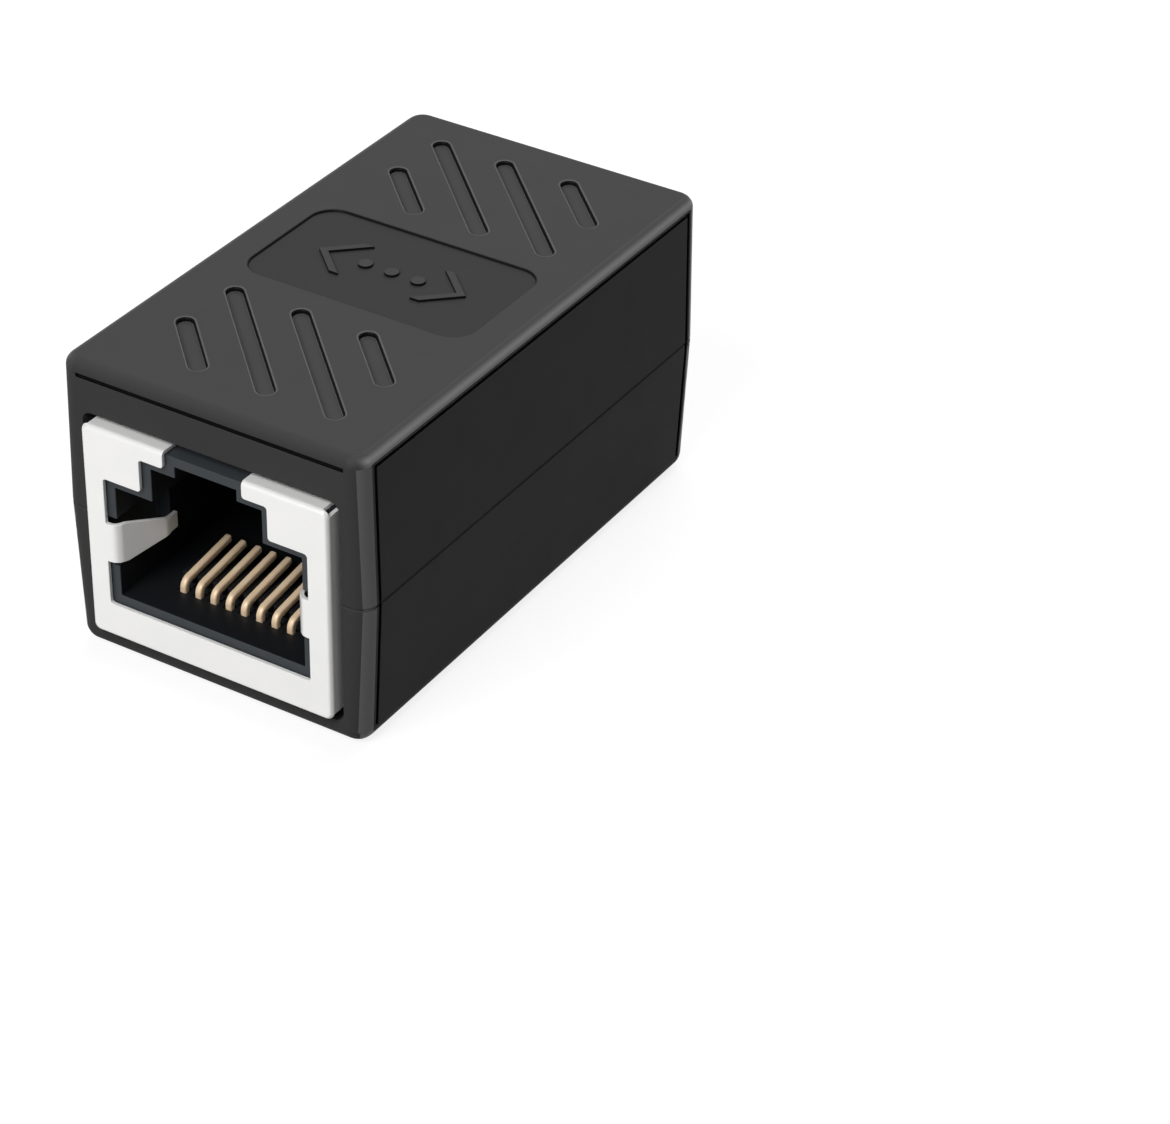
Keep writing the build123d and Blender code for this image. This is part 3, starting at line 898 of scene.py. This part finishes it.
@dataclass
class Socket:
    """One modular socket: its plated shield, moulding, contact carrier and eight contact wires."""

    end: End
    strip: FormTree
    finishes: dict[str, bpy.types.Material]
    jack_middle: float = 8.35
    sheet_edge: float = 0.04
    moulding_edge: float = 0.06
    carrier_edge: float = 0.03
    contact_count: int = 8
    contact_pitch: float = 1.02
    wire_front: float = -15.2
    wire_run: float = 3.45
    wire_crest: float = 4.9
    tip: Pair = (-11.0, 5.5)
    tip_rounding: float = 0.1
    tip_steps: int = 3
    tip_turn: float = 60.0
    tail_bend: float = -2.65
    tail_high: float = 5.99
    tail_end: float = 1.3
    core_half: float = 6.21
    core_levels: Pair = (4.35, 14.2)
    core_mouth: float = 17.45

    def placed(self, x: float, y: float, z: float) -> Triple:
        """Turn a point of the front socket into the same point of this socket."""
        return (x, y, z) if self.end is End.FRONT else (x, -y, 2 * self.jack_middle - z)

    def route(self, number: int) -> list[Triple]:
        """Give the corners of one contact's run, from its free end to its tail in the board.

        Args:
            number: Number of the contact, from 1. Even ones end in the row of holes nearer the middle.

        Returns:
            The corners, in millimetres.
        """
        x = (number - 1 - (self.contact_count - 1) / 2) * self.contact_pitch
        corners = [self.tip, (self.wire_front, self.wire_crest), (self.wire_front, self.wire_run)]
        if number % 2 == 0:
            corners += [(self.tail_bend, self.wire_run), (self.tail_bend, self.tail_high),
                        (self.tail_end, self.tail_high)]
        else:
            corners += [(self.tail_end, self.wire_run)]
        return [self.placed(x, y, z) for y, z in corners]

    def build(self) -> None:
        """Make the pieces of this socket."""
        name = self.end.value
        for part, edge, finish in (("shield", self.sheet_edge, "shield"),
                                   ("socket_body", self.moulding_edge, "socket"),
                                   ("contact_carrier", self.carrier_edge, "carrier")):
            node = f"{name}_{part}"
            piece = dressed_copy(node, f"{node}_dressed", EdgeRounding(edge), self.finishes[finish])
            if part == "socket_body":
                # Faces inside the plug space get the darker core finish: painted shade.
                piece.data.materials.append(self.finishes["core"])
                for face in piece.data.polygons:
                    face.material_index = int(self.in_core(face.center / MM))
            settle(piece, (node,))
        for number in range(1, self.contact_count + 1):
            node = f"{name}_contact_{number}"
            wire = point_object(f"{node}_wire", self.route(number), joined=True)
            self.strip.apply(wire, self.finishes["contacts"])
            self.round_ends(wire)
            settle(wire, (node,))

    def in_core(self, point: Vector) -> bool:
        """Tell whether a point lies on the walls that the tool's core formed, which get painted shade.

        Args:
            point: Middle of a face, in millimetres.

        Returns:
            Whether it lies in the plug space.
        """
        x, y, z = self.placed(*point)
        low, high = self.core_levels
        return abs(x) < self.core_half and y > -self.core_mouth and low < z < high

    def round_ends(self, wire: bpy.types.Object) -> None:
        """Round the cut ends of a wire, the only edges on it with a square turn.

        Args:
            wire: The wire, a plain mesh.
        """
        ease = wire.modifiers.new("round_ends", "BEVEL")
        ease.width = self.tip_rounding * MM
        ease.segments = self.tip_steps
        ease.limit_method = "ANGLE"
        ease.angle_limit = math.radians(self.tip_turn)
        plain_mesh(wire)


@dataclass
class Board:
    """The circuit board between the sockets, with its solder joints and the tracks that cross it."""

    strip: FormTree
    joint: FormTree
    finishes: dict[str, bpy.types.Material]
    face: float = 0.6
    edge: float = 0.05
    track_width: float = 0.28
    track_thickness: float = 0.035
    track_corner: float = 0.01
    pad_lift: float = 0.025

    def build(self, sockets: list[Socket]) -> None:
        """Make the board and, for each socket, its joints and tracks.

        Args:
            sockets: The sockets whose tails the board takes.
        """
        board = dressed_copy("circuit_board", "circuit_board_dressed",
                             EdgeRounding(self.edge, segments=1), self.finishes["board"])
        settle(board, ("circuit_board",))
        for socket in sockets:
            through = -socket.end.outward
            tails = [socket.route(number)[-1] for number in range(1, socket.contact_count + 1)]
            name = socket.end.value
            points = [(x, through * (self.face + self.pad_lift), z) for x, _, z in tails]
            joints = point_object(f"{name}_solder_joints", points, joined=False)
            outward = joints.data.attributes.new("outward", "FLOAT_VECTOR", "POINT")
            for item in outward.data:
                item.vector = (0.0, through, 0.0)
            settle(self.joint.apply(joints, self.finishes["solder"]))
            # Four tracks on each face: from the even holes of the front socket and the odd ones of the rear.
            lift = through * (self.face + self.track_thickness / 2)
            for number, (x, _, z) in enumerate(tails, 1):
                if (number % 2 == 0) == (socket.end is End.FRONT):
                    line = [(x, lift, z), (x, lift, 2 * socket.jack_middle - z)]
                    track = point_object(f"board_track_{number}", line, joined=True)
                    self.strip.apply(track, self.finishes["track"], Strip_width=self.track_width,
                                     Strip_thickness=self.track_thickness, Strip_corner=self.track_corner)
                    settle(track)


@dataclass(frozen=True)
class SoftBox:
    """A square soft light, by its direction from the coupler. Distance, size and height are in metres."""

    name: str
    toward: Triple
    distance: float
    size: float
    watts: float
    aim_height: float = 0.009

    def build(self) -> None:
        """Hang the light and turn it to the coupler."""
        lamp = bpy.data.lights.new(self.name, "AREA")
        lamp.shape = "SQUARE"
        lamp.size = self.size
        lamp.energy = self.watts
        holder = bpy.data.objects.new(self.name, lamp)
        way = Vector(self.toward).normalized()
        holder.location = way * self.distance + Vector((0, 0, self.aim_height))
        holder.rotation_mode = "QUATERNION"
        holder.rotation_quaternion = way.to_track_quat("Z", "Y")
        bpy.context.scene.collection.objects.link(holder)


@dataclass
class Studio:
    """A pale floor, a white surround, two soft lights and the camera.

    The floor's half width and the camera's clipping range are in metres, and other lengths are in
    millimetres.
    """

    floor_colour: str = "#828282"
    floor_glow: float = 0.84
    floor_half: float = 1.5
    floor_drop: float = 0.02
    floor_grain: float = 0.6
    floor_grain_depth: float = 0.01
    floor_grain_strength: float = 0.05
    ambient: float = 0.1
    lens: float = 109.43
    film_width: float = 36.0
    clipping: Pair = (0.01, 10.0)
    camera_place: Triple = (96.836, -141.515, 115.847)
    camera_right: Triple = (0.85281, 0.52185, 0.01984)
    camera_down: Triple = (0.30807, -0.47206, -0.82599)
    camera_forward: Triple = (-0.42168, 0.71052, -0.56334)
    lights: tuple[SoftBox, ...] = (
        SoftBox("overhead", (-0.1, 0.6, 0.8), distance=0.33, size=0.3, watts=0.77),
        SoftBox("front_fill", (-0.05, -1.0, 0.95), distance=0.34, size=0.2, watts=0.85),
    )

    def seen(self, tree: bpy.types.NodeTree) -> bpy.types.NodeSocket:
        """Give 1 where the camera, a reflection or a refraction looks at the surround, and 0 elsewhere.

        Args:
            tree: Shader tree that gets the nodes.

        Returns:
            The output that holds the 1 or 0.
        """
        path = add_node(tree, "ShaderNodeLightPath")
        near = add_node(tree, "ShaderNodeMath", links={0: path.outputs["Is Camera Ray"],
                                                       1: path.outputs["Is Glossy Ray"]}, operation="MAXIMUM")
        both = add_node(tree, "ShaderNodeMath", links={0: near.outputs[0],
                                                       1: path.outputs["Is Transmission Ray"]},
                        operation="MAXIMUM")
        return both.outputs[0]

    def build_world(self) -> None:
        """Make the white surround, which lights the coupler only faintly."""
        world = bpy.data.worlds.new("surround")
        world.use_nodes = True
        tree = world.node_tree
        tree.nodes.clear()
        level = add_node(tree, "ShaderNodeMapRange", {"To Min": self.ambient, "To Max": 1.0},
                         {"Value": self.seen(tree)})
        light = add_node(tree, "ShaderNodeBackground", {"Color": (1, 1, 1, 1)},
                         {"Strength": level.outputs["Result"]})
        add_node(tree, "ShaderNodeOutputWorld", links={"Surface": light.outputs["Background"]})
        bpy.context.scene.world = world

    def build_floor(self) -> None:
        """Make the floor: a matt grey that takes the shadow, lifted to white where it is looked at."""
        material, tree = blank_material("paper_floor")
        grain = add_node(tree, "ShaderNodeTexNoise", {"Scale": 1 / (self.floor_grain * MM), "Detail": 2.0},
                         {"Vector": object_pattern(tree)})
        bump = add_node(tree, "ShaderNodeBump",
                        {"Strength": self.floor_grain_strength, "Distance": self.floor_grain_depth * MM},
                        {"Height": grain.outputs["Fac"]})
        matt = add_node(tree, "ShaderNodeBsdfDiffuse", {"Color": linear(self.floor_colour)},
                        {"Normal": bump.outputs["Normal"]})
        level = add_node(tree, "ShaderNodeMath", {1: self.floor_glow}, {0: self.seen(tree)},
                         operation="MULTIPLY")
        glow = add_node(tree, "ShaderNodeEmission", {"Color": (1, 1, 1, 1)}, {"Strength": level.outputs[0]})
        both = add_node(tree, "ShaderNodeAddShader",
                        links={0: matt.outputs["BSDF"], 1: glow.outputs["Emission"]})
        add_node(tree, "ShaderNodeOutputMaterial", links={"Surface": both.outputs["Shader"]})
        mesh = bpy.data.meshes.new("floor")
        half, low = self.floor_half, -self.floor_drop * MM
        mesh.from_pydata([(-half, -half, low), (half, -half, low), (half, half, low), (-half, half, low)],
                         [], [(0, 1, 2, 3)])
        mesh.materials.append(material)
        floor = bpy.data.objects.new("floor", mesh)
        bpy.context.scene.collection.objects.link(floor)

    def build_camera(self) -> None:
        """Set the camera at the viewing angle of the picture."""
        camera = bpy.data.cameras.new("camera")
        camera.lens = self.lens
        camera.sensor_width = self.film_width
        camera.clip_start, camera.clip_end = self.clipping
        holder = bpy.data.objects.new("camera", camera)
        axes = (Vector(self.camera_right), -Vector(self.camera_down), -Vector(self.camera_forward))
        turn = Matrix(axes).transposed().to_4x4()
        holder.matrix_world = Matrix.Translation(Vector(self.camera_place) * MM) @ turn
        bpy.context.scene.collection.objects.link(holder)
        bpy.context.scene.camera = holder

    def build(self) -> None:
        """Make the whole studio."""
        self.build_world()
        self.build_floor()
        for light in self.lights:
            light.build()
        self.build_camera()
        bpy.context.scene.view_settings.view_transform = "Standard"


def piece_finishes() -> dict[str, bpy.types.Material]:
    """Make the materials of the sockets and the board.

    Returns:
        The materials, by the slot or part that they are for.
    """
    # Rolling lines at 0.12 mm and drawing lines at 0.04 mm are coarser than the real ones, so that they show.
    shield = PlatedSheet("nickel_plated_brass", "#fcfbf9", "#f4f4f3", roughness=0.32, roll_mm=0.12,
                         roll_length_mm=4.0, roll_depth_mm=0.0015, milky=0.05, polished=0.64,
                         across=(0, 1, 1))
    socket = MouldedPlastic("black_pbt_moulded", "#3c4145", "#373c40", roughness=0.48, ior=1.45,
                            specular=0.3, grain_mm=0.2, grain_depth_mm=0.006, mottle_mm=1.6)
    # The core finish is painted shade: the plug space's walls are darker than the rest of the moulding.
    core = MouldedPlastic("black_pbt_core_painted_shade", "#1b1d20", "#17191c", roughness=0.4, ior=1.45,
                          specular=0.2, grain_mm=0.2, grain_depth_mm=0.003, mottle_mm=1.6)
    carrier = MouldedPlastic("black_pbt_carrier", "#18191b", "#141517", roughness=0.45, ior=1.45,
                             specular=0.5, grain_mm=0.2, grain_depth_mm=0.006, mottle_mm=1.6)
    contacts = GiltWire("gold_plated_bronze", "#ffe6c2", "#fadab4", roughness=0.36, metallic=0.08,
                        draw_mm=0.04)
    board = BoardLaminate("glass_epoxy_green", "#1d5a34", "#236b3e", thread_mm=0.5)
    solder = SolderFillet("tin_solder", "#d4d5d6", roughness=0.3, ripple_mm=0.3)
    track = BoardLaminate("copper_under_resist", "#2f7d4c", "#2f8350", thread_mm=0.5)
    finishes = {"shield": shield, "socket": socket, "core": core, "carrier": carrier, "contacts": contacts,
                "board": board, "solder": solder, "track": track}
    return {part: finish.build() for part, finish in finishes.items()}


def main() -> None:
    """Build the coupler and its studio, in order."""
    logging.basicConfig(level=logging.INFO, format="%(name)s: %(message)s")
    Studio().build()
    Housing().build()
    finishes = piece_finishes()
    strip = build_strip_tree()
    sockets = [Socket(end, strip, finishes) for end in End]
    for socket in sockets:
        socket.build()
    Board(strip, build_joint_tree(), finishes).build(sockets)


if __name__ == "__main__":
    main()
